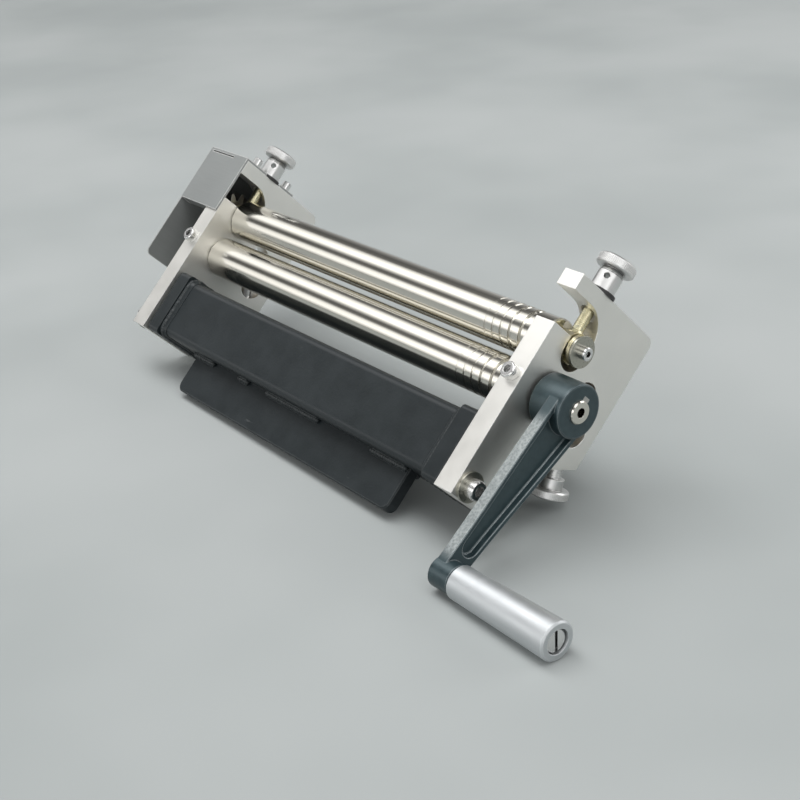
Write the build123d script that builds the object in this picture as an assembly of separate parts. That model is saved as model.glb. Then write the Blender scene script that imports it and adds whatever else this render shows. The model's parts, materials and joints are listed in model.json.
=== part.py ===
from build123d import *
import math
import os

# A bench slip roll: two side plates joined by a box beam with a vise plate below it,
# a lower roller turned by a crank, an upper roller geared to it and raised by two knobs,
# and a rear bending roller raised by two slanted screws.
# X runs along the rollers towards the crank, Y from the front to the back, Z up.
# The origin is the middle of the beam's underside, which rests on the vise jaws.

# Driving dimensions, in millimetres
between_plates = 290.0
plate_thickness = 13.0
plate_height = 124.0
plate_depth = 70.0
foot_depth = 42.5              # plate's bottom edge, front to back
waist_depth = 49.0             # front edge to where the foot's slope meets the long one
plate_corner = 5.0
roller_setback = 23.5          # plate's front edge to the plane of the pinch rollers
beam_lift = 2.5                # plate's bottom edge to the beam's underside
roller_diameter = 25.0
lower_roller_height = 65.2     # above the plates' bottom edge
roller_gap = 3.0               # between the pinch rollers, as set
rear_behind = 26.0             # rear roller behind the lower one, as set
rear_above = 6.2               # and above it
lean = 24.0                    # the rear slots lean forward by this many degrees
back_corner_height = 46.0      # where the slanted lower edge meets the back edge
mouth_floor = 96.5             # the plate's open mouth, above its bottom edge
roof_thickness = 8.8           # plate left above the mouth
mouth_radius = 16.4
eye_slot_width = 16.8
eye_slot_end = 89.9            # centre of the slot's round bottom
crank_throw = 100.0
crank_lean = 8.6               # the crank hangs this many degrees to the front

# Travel of the adjustments
pinch_down = 2.4
rear_up = 4.0
rear_down = 7.5

# Clearances
running = 0.03                 # radial, shaft in bearing
sliding = 0.08                 # each side of a sliding block
fixed = 0.02                   # radial, pressed or locked pieces
side_gap = 0.5                 # roller face to plate

# Rollers
groove_places = [103.0, 109.0, 115.2, 122.0, 130.0]
groove_radii = [0.6, 0.9, 1.2, 1.6, 2.0]
lower_journal = 14.0
shaft_end = 12.0
upper_journal = 10.0
upper_gear_seat = 8.0
rear_journal = 10.0
bush_diameter = 20.0
lock_screw = 5.0               # holds a bush from the plate's front edge
lock_head = 8.5
lock_socket = 4.0
block_width = 16.0             # rear bearing block, across its slot
block_tail = 4.0               # its lower round end below the roller's axis
slot_spare = 0.1               # slot beyond the block's lowest place
slot_spare_top = 2.85          # and beyond its highest
tip_diameter = 5.0             # rear screw's turned-down tip, in the block
tip_length = 1.8

# Gears
gear_teeth = 12
gear_tip = 14.9
gear_root = 10.0
gear_width = 8.0
gear_offset = 1.5              # plate's outer face to gear
gear_key_side = 3.0
key_in_shaft = 2.0
gear_washer_thickness = 1.5
tooth_root_half = 1.95
tooth_middle_half = 1.45
tooth_tip_half = 0.75

# Small screws and washers at the roller ends
end_screw_diameter = 4.0
end_screw_length = 12.0
end_screw_head = 7.0
end_screw_socket = 3.0
end_hole_depth = 12.0
end_gap = 0.4                  # plate's outer face to the upper roller's end
end_washer_diameter = 16.4
end_washer_thickness = 1.0
spacer_diameter = 11.0
spacer_length = 0.5
outer_washer_thickness = 1.2
shaft_end_hole = 5.0

# Box beam
beam_side = 38.0
beam_wall = 3.0
beam_corner = 4.5
flange_thickness = 13.0
flange_depth = 44.0
flange_height = 42.0
flange_corner = 3.0
flange_rim = 2.2               # bevel where a flange meets its side plate
vise_plate_length = 212.0
vise_plate_drop = 25.0
vise_plate_thickness = 8.0
stitch_places = [-95.0, -51.0, 0.0, 90.0]
stitch_lengths = [20.0, 8.0, 50.0, 28.0]
stitch_leg = 3.0
bead_leg = 1.9                 # weld round the beam's end, up the flange
bead_length = 4.5              # and along the beam

# Bolts through the plates into the beam
bolt_diameter = 6.0
bolt_head = 10.0
bolt_socket = 5.0
bolt_hole_spare = 0.6
low_bolt_y = 8.7               # from the plate's front and bottom edges
low_bolt_z = 7.6
high_bolt_y = 38.0
high_bolt_z = 34.7
bolt_in_flange = 10.0
bolt_washer_diameter = 16.0
bolt_washer_thickness = 1.5

# Crank
crank_key_side = 4.0
hub_diameter = 28.0
hub_start = 1.4                # plate's outer face to hub
hub_length = 20.6
arm_thickness = 10.0
arm_wide = 12.2                # half width at the shaft
arm_narrow = 4.4               # half width at the grip
boss_radius = 8.0
boss_length = 14.0
rail_width = 2.3
channel_depth = 4.5
grip_length = 66.0
grip_small = 17.5
grip_large = 19.5
pin_diameter = 8.0
pin_head = 11.4
pin_head_height = 3.0
grip_sink = 4.2                # depth of the grip's sunk end

# Knobs
knob_disc = 20.4
knob_disc_height = 5.6
knob_body = 13.4
knob_body_low = 1.9            # heights above the plate's top
knob_body_high = 11.2
knob_groove = 0.5
knob_collar_height = 2.2
knob_shank = 9.0
knob_shank_depth = 8.2
knob_bore_high = 6.8
cross_hole_height = 8.6
cross_hole_diameter = 3.3
knob_washer = 16.0
knob_washer_thickness = 1.8
eye_stem = 6.0
eye_width = 10.0
rear_screw = 8.0
rear_neck = 6.1                # screw seen between the plate and the collar
rear_collar = 12.6
rear_collar_length = 5.5
rear_disc_thickness = 4.8

# Gear cover
sheet = 1.5
cover_reach = 30.5             # plate's outer face to the cover's outside
cover_front_height = 37.5      # below the plate's top
cover_wall_height = 81.0
cover_back_height = 64.0
cover_depth = 46.0             # behind the plate's front edge
cover_tab_depth = 43.0         # the same, where it lies on the plate
cover_lip = 7.0
cover_wall_corner = 4.0
cover_bend = 1.2
cover_screw_inset = 4.5        # from the plate's inner face
cover_screw_spread = 14.0
cover_screw_diameter = 3.2
cover_screw_depth = 7.0
cover_screw_head = 6.0
cover_screw_head_height = 5.0

# Places that follow from the sizes above
inner = between_plates / 2
outer = inner + plate_thickness
middle = inner + plate_thickness / 2
front = -roller_setback
back = front + plate_depth
bottom = -beam_lift
top = bottom + plate_height
lower_z = bottom + lower_roller_height
upper_z = lower_z + roller_diameter + roller_gap
rear_y = rear_behind
rear_z = lower_z + rear_above
lean_sin = math.sin(math.radians(lean))
lean_cos = math.cos(math.radians(lean))


def across(x_position):
    """A plane square to the rollers, with its own x along Y and its y along Z."""
    return Plane(origin=(x_position, 0, 0), x_dir=(0, 1, 0), z_dir=(1, 0, 0))


def rod_x(x_from, x_to, diameter, y, z):
    """A round bar along X."""
    x_low = min(x_from, x_to)
    circle = across(x_low) * Pos(y, z) * Circle(diameter / 2)
    return extrude(circle, amount=abs(x_to - x_from))


def ring_x(x_from, x_to, outside, bore, y, z):
    """A washer, bush or ring along X."""
    low, high = sorted((x_from, x_to))
    return rod_x(low, high, outside, y, z) - rod_x(low - 1, high + 1, bore, y, z)


def rod_z(z_from, z_to, diameter, x, y):
    """A round bar along Z."""
    return Pos(x, y, (z_from + z_to) / 2) * Cylinder(diameter / 2, z_to - z_from)


def slant_frame(x_position):
    """A frame at the rear roller's axis whose own Z runs up the rear slot."""
    return Plane(origin=(x_position, rear_y, rear_z), x_dir=(1, 0, 0), z_dir=(0, -lean_sin, lean_cos))


def hexagon_socket(across_flats, depth):
    """A hexagonal pocket, its mouth on the XY plane, going down."""
    hexagon = RegularPolygon(across_flats / math.sqrt(3), 6)
    return Pos(0, 0, -depth) * extrude(hexagon, amount=depth + 1)


def cap_screw(shank, length, head, head_height, socket):
    """A socket head cap screw, head seat on the XY plane, shank going down."""
    body = Pos(0, 0, head_height / 2) * Cylinder(head / 2, head_height)
    body = chamfer(body.edges().group_by(Axis.Z)[-1], 0.5)
    body = body - Pos(0, 0, head_height) * hexagon_socket(socket, head_height * 0.55)
    return body + Pos(0, 0, -length / 2) * Cylinder(shank / 2, length)


def facing_x(shape, x, y, z, side):
    """Turn a screw so that its head faces along X on the given side."""
    return Pos(x, y, z) * Rot(0, 90 * side, 0) * shape


# ---------------------------------------------------------------- side plates

def plate_outline():
    """The plate's outer shape: square at the front, cut away low at the back."""
    slope = math.tan(math.radians(lean))
    waist_y = front + waist_depth
    waist_z = bottom + back_corner_height - (back - waist_y) * slope
    corners = [
        (front, bottom),
        (front + foot_depth, bottom),
        (waist_y, waist_z),
        (back, bottom + back_corner_height),
        (back, top),
        (front, top),
    ]
    outline = make_face(Polyline(*corners, close=True))
    top_back = outline.vertices().sort_by(lambda v: v.X + v.Y)[-1]
    outline = fillet(top_back, plate_corner)
    waist = outline.vertices().sort_by(lambda v: math.dist((v.X, v.Y), (waist_y, waist_z)))[0]
    return fillet(waist, plate_corner + 1)


def mouth_outline():
    """The open mouth: flat lip and roof, a round back, and the slot for the eye below."""
    slot_back = eye_slot_width / 2
    slot_front = -eye_slot_width / 2
    roof = top - roof_thickness
    floor = bottom + mouth_floor
    arc_y = slot_back - mouth_radius
    arc_z = roof - mouth_radius
    slot_end = bottom + eye_slot_end
    edge = Polyline((slot_back, slot_end), (slot_back, arc_z))
    edge += RadiusArc((slot_back, arc_z), (arc_y, roof), -mouth_radius)
    edge += Polyline((arc_y, roof), (front - 5, roof), (front - 5, floor), (slot_front, floor), (slot_front, slot_end))
    edge += RadiusArc((slot_front, slot_end), (slot_back, slot_end), -eye_slot_width / 2)
    return make_face(edge)


def round_ended(half, low, high):
    """A strip with round ends whose centres lie at the two heights."""
    strip = Pos(0, (low + high) / 2) * Rectangle(2 * half, high - low)
    return strip + Pos(0, low) * Circle(half) + Pos(0, high) * Circle(half)


def rear_slot_outline():
    """The slanted slot of the rear bearing block."""
    low = -(rear_down + block_tail + slot_spare)
    slot = round_ended(block_width / 2 + sliding, low, rear_up + slot_spare_top)
    return Pos(rear_y, rear_z) * Rot(0, 0, lean) * slot


def bolt_places():
    """Where the beam's flange bolts pass through a plate."""
    low = (front + low_bolt_y, bottom + low_bolt_z)
    high = (front + high_bolt_y, bottom + high_bolt_z)
    return [low, high]


def side_plate(side):
    start = inner if side > 0 else -outer
    face = plate_outline() - mouth_outline() - rear_slot_outline()
    plate = extrude(across(start) * face, amount=plate_thickness)
    plate = plate - rod_x(start - 1, start + plate_thickness + 1, bush_diameter + 2 * fixed, 0, lower_z)
    for y, z in bolt_places():
        plate = plate - rod_x(start - 1, start + plate_thickness + 1, bolt_diameter + bolt_hole_spare, y, z)
    x = side * middle
    plate = plate - rod_z(top - roof_thickness - 5, top + 1, knob_shank + 0.1, x, 0)
    lock_hole = Pos(x, front / 2 - 4, lower_z) * Rot(90, 0, 0) * Cylinder(lock_screw / 2 + 0.05, roller_setback)
    plate = plate - lock_hole
    screw_hole = slant_frame(x) * Pos(0, 0, -slope_distance()) * Cylinder(rear_screw / 2 + 0.05, 30)
    plate = plate - screw_hole
    if side < 0:
        for y in cover_screw_places():
            hole = rod_z(top - cover_screw_depth - 0.5, top + 1, cover_screw_diameter + 0.2, cover_screw_x(), y)
            plate = plate - hole
    return plate


def cover_screw_places():
    return [-cover_screw_spread, cover_screw_spread]


def cover_screw_x():
    return -(inner + cover_screw_inset)


# ---------------------------------------------------------------- box beam

def beam_section(side_length, corner):
    return RectangleRounded(side_length, side_length, corner)


def base_tube():
    half = inner - flange_thickness
    place = across(-half) * Pos(0, beam_side / 2)
    section = place * beam_section(beam_side, beam_corner)
    hollow = place * beam_section(beam_side - 2 * beam_wall, beam_corner - beam_wall)
    return extrude(section - hollow, amount=2 * half)


def end_flange(side):
    """The thick end plate of the beam, its rim rounded where it meets the side plate."""
    centre = beam_side / 2
    x = side * (inner - flange_thickness / 2)
    block = Pos(x, 0, centre) * Box(flange_thickness, flange_depth, flange_height)
    block = fillet(block.edges().filter_by(Axis.X), flange_corner)
    rim = block.faces().sort_by(Axis.X)[-1 if side > 0 else 0].edges()
    block = chamfer(rim, flange_rim)
    for y, z in bolt_places():
        block = block - rod_x(x - flange_thickness, x + flange_thickness, bolt_diameter + 2 * fixed, y, z)
    return block


def vise_plate():
    plate = Pos(0, 0, -vise_plate_drop / 2) * Box(vise_plate_length, vise_plate_thickness, vise_plate_drop)
    corners = plate.edges().filter_by(Axis.Y).group_by(Axis.Z)[0]
    plate = fillet(corners, 5)
    ends = plate.faces().filter_by(Axis.Y).edges()
    low_ends = ends.filter_by(lambda edge: edge.center().Z < -0.5)
    return chamfer(low_ends, 0.8)


def beam_bead(side):
    """The weld that runs round the beam's end, tapering away from the flange."""
    leg_in = bead_leg
    leg_along = bead_length
    start = side * (inner - flange_thickness)
    end = start - side * leg_along
    centre = beam_side / 2
    wide = across(start) * Pos(0, centre) * beam_section(beam_side + 2 * leg_in, beam_corner + leg_in)
    narrow = across(end) * Pos(0, centre) * beam_section(beam_side + 0.6, beam_corner + 0.3)
    core = across(min(start, end) - 1) * Pos(0, centre) * beam_section(beam_side, beam_corner)
    return loft([wide, narrow]) - extrude(core, amount=leg_along + 2)


def vise_stitch(x_centre, length, face):
    """A short fillet weld between the vise plate and the beam's underside."""
    leg = stitch_leg
    y_face = face * vise_plate_thickness / 2
    triangle = make_face(Polyline((y_face, 0), (y_face + face * leg, 0), (y_face, -leg), close=True))
    return extrude(across(x_centre - length / 2) * triangle, amount=length)


def weld_beads():
    beads = [beam_bead(1), beam_bead(-1)]
    for x, length in zip(stitch_places, stitch_lengths):
        beads += [vise_stitch(x, length, -1), vise_stitch(x, length, 1)]
    return Compound(children=beads)


def base_bolts():
    bolts = []
    for side in (1, -1):
        for y, z in bolt_places():
            length = plate_thickness + bolt_washer_thickness + bolt_in_flange
            screw = cap_screw(bolt_diameter, length, bolt_head, bolt_diameter, bolt_socket)
            bolts.append(facing_x(screw, side * (outer + bolt_washer_thickness), y, z, side))
    return Compound(children=bolts)


def base_washers():
    rings = []
    for side in (1, -1):
        for y, z in bolt_places():
            end = side * (outer + bolt_washer_thickness)
            rings.append(ring_x(side * outer, end, bolt_washer_diameter, bolt_diameter + 0.4, y, z))
    return Compound(children=rings)


# ---------------------------------------------------------------- bearings

def lower_bush(side):
    return ring_x(side * inner, side * outer, bush_diameter, lower_journal + 2 * running, 0, lower_z)


def lock_screws():
    """The screws in the plates' front edges that hold the lower bushes."""
    screws = []
    reach = roller_setback - bush_diameter / 2 - 0.1
    for side in (1, -1):
        screw = cap_screw(lock_screw, reach, lock_head, lock_screw, lock_socket)
        screws.append(Pos(side * middle, front, lower_z) * Rot(90, 0, 0) * screw)
    return Compound(children=screws)


def eye_bolt(side):
    """The ring that carries an upper journal, on its threaded stem."""
    half = eye_width / 2
    x = side * middle
    ring = rod_x(x - half, x + half, eye_slot_width - 2 * sliding - 0.2, 0, upper_z)
    stem = rod_z(upper_z + 7.0, top + 0.6, eye_stem, x, 0)
    neck = Pos(x, 0, upper_z + 8.2) * Cone(4.6, 3.2, 2.4)
    eye = ring + neck + stem
    return eye - rod_x(x - half - 1, x + half + 1, upper_journal + 2 * running, 0, upper_z)


def rear_block(side):
    """The round-ended bearing block that slides in the rear slot."""
    width = plate_thickness - 1.0
    x = side * middle
    place = across(x - width / 2) * Pos(rear_y, rear_z) * Rot(0, 0, lean)
    block = extrude(place * round_ended(block_width / 2, -block_tail, 0), amount=width)
    block = block - rod_x(x - width, x + width, rear_journal + 2 * running, rear_y, rear_z)
    socket_low = -(block_tail + block_width / 2)
    socket = Pos(0, 0, socket_low + tip_length / 2) * Cylinder(tip_diameter / 2 + 0.05, tip_length + 0.6)
    return block - slant_frame(x) * socket


# ---------------------------------------------------------------- rollers

def turned(steps, z, y=0.0, grooved=False):
    """A turned bar from a list of (x, radius) steps, from one end to the other."""
    points = [(steps[0][0], 0)]
    for x, radius in steps:
        points.append((x, radius))
    points.append((steps[-1][0], 0))
    profile = make_face(Polyline(*points, close=True))
    if grooved:
        for place, radius in zip(groove_places, groove_radii):
            profile = profile - Pos(place, roller_diameter / 2) * Rot(0, 0, 18) * RegularPolygon(radius, 10)
    bar = revolve(Plane.XZ * profile, Axis.X, 360)
    return Pos(0, y, z) * bar


def roller_steps(left_steps, right_steps):
    """A roller's body with small chamfers, between its end steps."""
    face = inner - side_gap
    radius = roller_diameter / 2
    body = [(-face, radius - 0.8), (-face + 0.8, radius), (face - 0.8, radius), (face, radius - 0.8)]
    return left_steps + body + right_steps


def shaft_end_step(x_from, x_to, diameter):
    """A plain step that ends in a small chamfer, away from the roller."""
    sign = 1 if x_to > x_from else -1
    radius = diameter / 2
    return [(x_from, radius), (x_to - sign * 0.6, radius), (x_to, radius - 0.6)]


def lower_roller():
    face = inner - side_gap
    shoulder = outer + gear_offset - 0.1
    gear_end = outer + gear_offset + gear_width
    crank_end = outer + hub_start + hub_length + 1.5
    journal = lower_journal / 2
    left = shaft_end_step(-shoulder, -gear_end, shaft_end)[::-1]
    left += [(-shoulder, journal), (-face, journal)]
    right = [(face, journal), (outer + hub_start, journal)]
    right += shaft_end_step(outer + hub_start, crank_end, shaft_end)
    roller = turned(roller_steps(left, right), lower_z, grooved=True)
    roller = roller - rod_x(crank_end - end_hole_depth, crank_end + 1, shaft_end_hole, 0, lower_z)
    roller = roller - rod_x(-gear_end - 1, -gear_end + end_hole_depth, end_screw_diameter + 0.1, 0, lower_z)
    roller = roller - crank_key_block() - gear_key_block(lower_z, shaft_end)
    return roller


def upper_roller():
    face = inner - side_gap
    shoulder = outer + gear_offset - 0.1
    gear_end = outer + gear_offset + gear_width
    journal = upper_journal / 2
    left = shaft_end_step(-shoulder, -gear_end, upper_gear_seat)[::-1]
    left += [(-shoulder, journal), (-face, journal)]
    right = [(face, journal)] + shaft_end_step(face, outer + end_gap, upper_journal)[1:]
    roller = turned(roller_steps(left, right), upper_z, grooved=True)
    for side, end in ((1, outer + end_gap), (-1, gear_end)):
        hole = rod_x(side * (end - end_hole_depth), side * (end + 1), end_screw_diameter + 0.1, 0, upper_z)
        roller = roller - hole
    return roller - gear_key_block(upper_z, upper_gear_seat)


def rear_roller():
    face = inner - side_gap
    journal = rear_journal / 2
    left = [(-outer + 1.1, journal - 0.6), (-outer + 1.7, journal), (-face, journal)]
    right = [(face, journal), (outer - 1.7, journal), (outer - 1.1, journal - 0.6)]
    return turned(roller_steps(left, right), rear_z, rear_y)


def end_washers():
    """The two plated washers next to the plate, on the upper roller's end."""
    rings = []
    for index in range(2):
        x = outer + end_gap + index * (end_washer_thickness + 0.1)
        rings.append(end_ring(x, end_washer_thickness, end_washer_diameter))
    return Compound(children=rings)


def end_ring(start, thickness, diameter):
    """A ring round the small screw at the upper roller's right end."""
    return ring_x(start, start + thickness, diameter, end_screw_diameter + 0.3, 0, upper_z)


def spacer_start():
    return outer + end_gap + 2 * end_washer_thickness + 0.1


def end_spacer():
    """The small collar between the plated washers and the outer one."""
    return end_ring(spacer_start(), spacer_length, spacer_diameter)


def outer_washer():
    start = spacer_start() + spacer_length
    return end_ring(start, outer_washer_thickness, end_washer_diameter + 0.2)


def small_cap_screw(length):
    return cap_screw(end_screw_diameter, length, end_screw_head, end_screw_diameter, end_screw_socket)


def end_screw():
    seat = spacer_start() + spacer_length + outer_washer_thickness
    return facing_x(small_cap_screw(end_screw_length), seat, 0, upper_z, 1)


# ---------------------------------------------------------------- gears

def gear_outline():
    """Twelve deep teeth, so that the rollers stay geared over their whole opening."""
    step = 360 / gear_teeth
    middle_radius = (gear_root + gear_tip) / 2 + 0.2
    root_angle = math.degrees(tooth_root_half / gear_root)
    tip_angle = math.degrees(tooth_tip_half / gear_tip)
    middle_angle = math.degrees(tooth_middle_half / middle_radius)

    def at(radius, angle):
        return radius * math.cos(math.radians(angle)), radius * math.sin(math.radians(angle))

    edge = Curve()
    for index in range(gear_teeth):
        turn = index * step
        rise = ThreePointArc(
            at(gear_root, turn - root_angle), at(middle_radius, turn - middle_angle), at(gear_tip, turn - tip_angle)
        )
        crest = ThreePointArc(at(gear_tip, turn - tip_angle), at(gear_tip, turn), at(gear_tip, turn + tip_angle))
        fall = ThreePointArc(
            at(gear_tip, turn + tip_angle), at(middle_radius, turn + middle_angle), at(gear_root, turn + root_angle)
        )
        valley = ThreePointArc(
            at(gear_root, turn + root_angle), at(gear_root, turn + step / 2), at(gear_root, turn + step - root_angle)
        )
        edge += [rise, crest, fall, valley]
    return make_face(edge)


def gear(z, bore, turn):
    start = -(outer + gear_offset + gear_width)
    face = across(start) * Pos(0, z) * Rot(0, 0, turn) * gear_outline()
    wheel = extrude(face, amount=gear_width)
    wheel = wheel - rod_x(start - 1, start + gear_width + 1, bore + 2 * fixed, 0, z)
    return wheel - gear_key_block(z, bore)


def gear_key_block(z, shaft):
    """The key between a gear and its shaft, standing half in each."""
    start = -(outer + gear_offset + gear_width)
    centre_z = z + shaft / 2 - key_in_shaft + gear_key_side / 2
    return Pos(start + gear_width / 2, 0, centre_z) * Box(gear_width, gear_key_side, gear_key_side)


def gear_washer(z):
    start = -(outer + gear_offset + gear_width)
    return ring_x(start - gear_washer_thickness, start, bolt_washer_diameter, end_screw_diameter + 0.3, 0, z)


def gear_screw(z):
    seat = -(outer + gear_offset + gear_width + gear_washer_thickness)
    return facing_x(small_cap_screw(end_screw_length - 1), seat, 0, z, -1)


# ---------------------------------------------------------------- gear cover

def gear_cover():
    """The folded guard over the gears: front, top, back and outer wall in one sheet."""
    left = -(outer + cover_reach)
    right = -inner
    width = right - left
    over = top + sheet
    front_low = top - cover_front_height
    wall_low = top - cover_wall_height
    wall_back = front + cover_depth
    tab_back = front + cover_tab_depth
    height = over - front_low
    skin = Pos(left + width / 2, front - sheet / 2, front_low + height / 2) * Box(width, sheet, height)
    tab_depth = tab_back - front + sheet
    skin += Pos(left + width / 2, front - sheet + tab_depth / 2, top + sheet / 2) * Box(width, tab_depth, sheet)
    roof_width = cover_reach - 0.4
    roof_depth = wall_back - front + sheet
    skin += Pos(left + roof_width / 2, front - sheet + roof_depth / 2, top + sheet / 2) * Box(
        roof_width, roof_depth, sheet
    )
    wall = across(left) * Pos(front - sheet + roof_depth / 2, (wall_low + over) / 2) * Rectangle(
        roof_depth, over - wall_low
    )
    wall = fillet(wall.vertices().group_by(Axis.Z)[0], cover_wall_corner)
    skin += extrude(wall, amount=sheet)
    back_low = top - cover_back_height
    skin += Pos(left + roof_width / 2, wall_back - sheet / 2, (back_low + over) / 2) * Box(
        roof_width, sheet, over - back_low
    )
    lip_width = cover_reach - sheet - 1.0
    skin += Pos(left + sheet + lip_width / 2, front + cover_lip / 2, front_low + sheet / 2) * Box(
        lip_width, cover_lip, sheet
    )
    upright = skin.edges().filter_by(Axis.Z).filter_by(lambda e: e.center().X < left + 0.1 and e.length > cover_lip * 3)
    skin = fillet(upright, cover_bend)
    seam_place = Pos(left + cover_reach / 2 + 1, front - sheet / 2, top - sheet * 0.6)
    seam = seam_place * Box(cover_reach - 4.5, sheet * 1.5, sheet / 2)
    skin -= seam
    skin -= rod_z(top - 1, over + 1, knob_washer + 2, -middle, 0)
    for y in cover_screw_places():
        skin -= rod_z(top - 1, over + 1, cover_screw_diameter + 0.4, cover_screw_x(), y)
    return skin


def cover_screws():
    screws = []
    x = cover_screw_x()
    seat = top + sheet
    for y in cover_screw_places():
        head = rod_z(seat, seat + cover_screw_head_height, cover_screw_head, x, y)
        head = chamfer(head.edges().group_by(Axis.Z)[-1], 0.4)
        slot = Pos(x, y, seat + cover_screw_head_height) * Box(cover_screw_head * 2, 1.0, 2.2)
        screws.append(head - slot + rod_z(top - cover_screw_depth, seat, cover_screw_diameter, x, y))
    return Compound(children=screws)


# ---------------------------------------------------------------- knobs

def knob_rings():
    """The black washers under the two upper knobs."""
    rings = []
    for side in (1, -1):
        ring = rod_z(top, top + knob_washer_thickness, knob_washer, side * middle, 0)
        rings.append(ring - rod_z(top - 1, top + 3, knob_shank + 0.4, side * middle, 0))
    return Compound(children=rings)


def disc_with_rim(low, high, diameter):
    disc = Pos(0, 0, (low + high) / 2) * Cylinder(diameter / 2, high - low)
    return chamfer(disc.edges().filter_by(GeomType.CIRCLE), 0.7)


def pinch_knob(side, hole_turn):
    """An upper knob: shank in the plate, body with a cross hole, collar and rimmed disc."""
    collar_high = knob_body_high + knob_groove + knob_collar_height
    shank = rod_z(-knob_shank_depth, knob_body_low + 0.1, knob_shank, 0, 0)
    body = rod_z(knob_body_low, knob_body_high, knob_body, 0, 0)
    groove = rod_z(knob_body_high - 0.1, knob_body_high + knob_groove, knob_body - 1.2, 0, 0)
    collar = Pos(0, 0, collar_high - knob_collar_height / 2) * Cone(6.5, 5.6, knob_collar_height)
    disc = disc_with_rim(collar_high, collar_high + knob_disc_height, knob_disc)
    knob = shank + body + groove + collar + disc
    thread = rod_z(-knob_shank_depth - 1, knob_bore_high, eye_stem + 0.1, 0, 0)
    cross_hole = Rot(0, 90, 0) * Cylinder(cross_hole_diameter / 2, 20)
    knob = knob - thread - Pos(0, 0, cross_hole_height) * Rot(0, 0, hole_turn) * cross_hole
    return Pos(side * middle, 0, top) * knob


def rear_knob(side):
    """A rear screw with its collar and rimmed disc, along the rear slot."""
    screw_high = -(block_tail + block_width / 2 + 0.1)
    screw_low = -(slope_distance() + rear_neck)
    collar_low = screw_low - rear_collar_length
    disc_low = collar_low - rear_disc_thickness
    tip = Pos(0, 0, screw_high + tip_length / 2 - 0.2) * Cylinder(tip_diameter / 2, tip_length + 0.4)
    screw = Pos(0, 0, (screw_low + screw_high) / 2) * Cylinder(rear_screw / 2, screw_high - screw_low)
    collar = Pos(0, 0, (collar_low + screw_low) / 2) * Cylinder(rear_collar / 2, rear_collar_length)
    disc = disc_with_rim(disc_low, collar_low, knob_disc)
    return slant_frame(side * middle) * (tip + screw + collar + disc)


def slope_distance():
    """From the rear roller's axis down the slot's line to the plate's slanted edge."""
    across_edge = (back - rear_y) * lean_sin
    return (rear_z - bottom - back_corner_height) * lean_cos + across_edge


# ---------------------------------------------------------------- crank

def crank_point(along, aside):
    """A place in Y and Z on the crank arm, from the shaft down the arm."""
    lean_angle = math.radians(crank_lean)
    y = -along * math.sin(lean_angle) + aside * math.cos(lean_angle)
    z = lower_z - along * math.cos(lean_angle) - aside * math.sin(lean_angle)
    return y, z


def arm_strip(inset, start, end):
    """The arm's tapered outline, or the same set in by the rails."""
    def half(along):
        return arm_wide + (arm_narrow - arm_wide) * along / crank_throw - inset

    corners = [
        crank_point(start, -half(start)),
        crank_point(start, half(start)),
        crank_point(end, half(end)),
        crank_point(end, -half(end)),
    ]
    return make_face(Polyline(*corners, close=True))


def crank_arm():
    """The cast arm: barrel hub, tapered arm with a channel between two rails, and boss."""
    hub_low = outer + hub_start
    hub_high = hub_low + hub_length
    arm_low = hub_high - arm_thickness
    boss_y, boss_z = crank_point(crank_throw, 0)
    hub_circle = Pos(0, lower_z) * Circle(hub_diameter / 2)
    boss_circle = Pos(boss_y, boss_z) * Circle(boss_radius)
    outline = arm_strip(0, 0, crank_throw) + hub_circle + boss_circle
    necks = outline.vertices().filter_by(
        lambda v: 5 < math.dist((v.X, v.Y), (boss_y, boss_z)) < boss_radius + 0.5
    )
    outline = fillet(necks, 5)
    arm = extrude(across(arm_low) * outline, amount=arm_thickness)
    arm = arm + extrude(across(hub_low) * hub_circle, amount=hub_length)
    arm = arm + extrude(across(arm_low) * boss_circle, amount=boss_length)
    channel = arm_strip(rail_width, 0, crank_throw - boss_radius - 3)
    channel = channel - Pos(0, lower_z) * Circle(hub_diameter / 2 + 2)
    channel = fillet(channel.vertices(), 1.5)
    pocket = extrude(across(hub_high) * channel, amount=-channel_depth, taper=6)
    arm = arm - pocket
    arm = arm - rod_x(hub_low - 1, hub_high + 1, shaft_end + 2 * fixed, 0, lower_z)
    arm = arm - rod_x(arm_low - 1, arm_low + boss_length + 1, pin_diameter + 2 * fixed, boss_y, boss_z)
    return arm - crank_key_block()


def crank_key_block():
    """The key between the crank's hub and the shaft, flush with the shaft's end."""
    start = outer + hub_start + 4
    end = outer + hub_start + hub_length
    centre_z = lower_z + shaft_end / 2 - key_in_shaft + crank_key_side / 2
    return Pos((start + end) / 2, 0, centre_z) * Box(end - start, crank_key_side, crank_key_side)


def grip_start():
    return outer + hub_start + hub_length - arm_thickness + boss_length + 0.3


def crank_grip():
    """The tapered grip that turns on its pin, with a sunk end."""
    y, z = crank_point(crank_throw, 0)
    start = grip_start()
    end = start + grip_length
    small = grip_small / 2
    large = grip_large / 2
    steps = [(start, small - 0.8), (start + 0.8, small), (end - 0.9, large), (end, large - 0.9)]
    grip = turned(steps, z, y)
    grip = grip - rod_x(start - 1, end + 1, pin_diameter + 0.16, y, z)
    return grip - rod_x(end - grip_sink, end + 1, pin_head + 1.0, y, z)


def grip_pin():
    """The shouldered pin that carries the grip, with a slotted head."""
    y, z = crank_point(crank_throw, 0)
    start = grip_start() + 0.3 - boss_length
    seat = grip_start() + grip_length - grip_sink + 0.2
    pin = rod_x(start, seat, pin_diameter, y, z)
    head = rod_x(seat, seat + pin_head_height, pin_head, y, z)
    head = chamfer(head.edges().group_by(Axis.X)[-1], 0.5)
    slot = Pos(seat + pin_head_height, y, z) * Rot(-14, 0, 0) * Box(pin_head_height + 0.2, 1.6, pin_head + 2)
    return pin + head - slot


# ---------------------------------------------------------------- the nodes

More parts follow.
